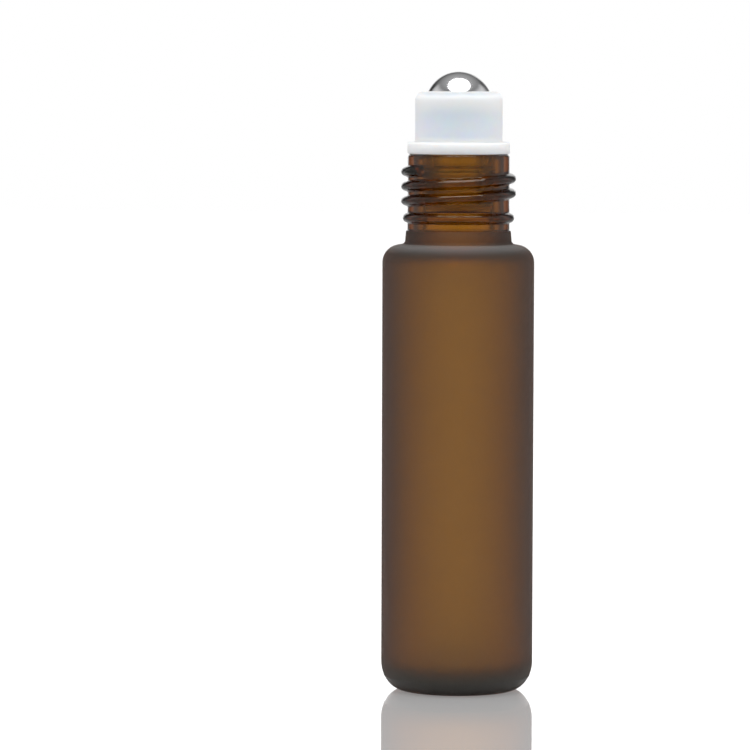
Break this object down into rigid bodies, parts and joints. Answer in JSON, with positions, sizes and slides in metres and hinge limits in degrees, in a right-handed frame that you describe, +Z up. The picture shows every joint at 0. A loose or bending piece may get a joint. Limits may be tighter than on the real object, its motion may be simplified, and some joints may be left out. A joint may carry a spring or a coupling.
{
  "type": "roll-on bottle",
  "caption": "Small round amber glass bottle with a satin body, a threaded neck and a translucent roller housing that holds a free-turning steel ball.",
  "frame": {"origin": "middle of the base, on the surface that the bottle stands on", "axes": "+Z up along the bottle's axis towards the ball; the bottle is round, so X and Y are free, and the picture looks along +Y"},
  "size_m": [0.02, 0.02, 0.0816],
  "materials": {
    "amber_glass": "acid-etched satin on the body, shoulder and collar; clear and glossy above the collar",
    "translucent_plastic": "natural polyethylene, milky and smooth",
    "polished_steel": "mirror-polished stainless steel"
  },
  "bodies": {
    "bottle": {"bottle": "amber_glass"},
    "roller_housing": {"roller_housing": "translucent_plastic"},
    "roller_ball": {"roller_ball": "polished_steel"}
  },
  "joints": [
    {"name": "housing_lift", "type": "slide", "parent": "bottle", "child": "roller_housing", "axis": [0, 0, 1], "range_m": [0, 0.02]},
    {"name": "ball_roll", "type": "hinge", "parent": "roller_housing", "child": "roller_ball", "pos_m": [0, 0, 0.0771], "axis": [1, 0, 0], "continuous": true}
  ]
}
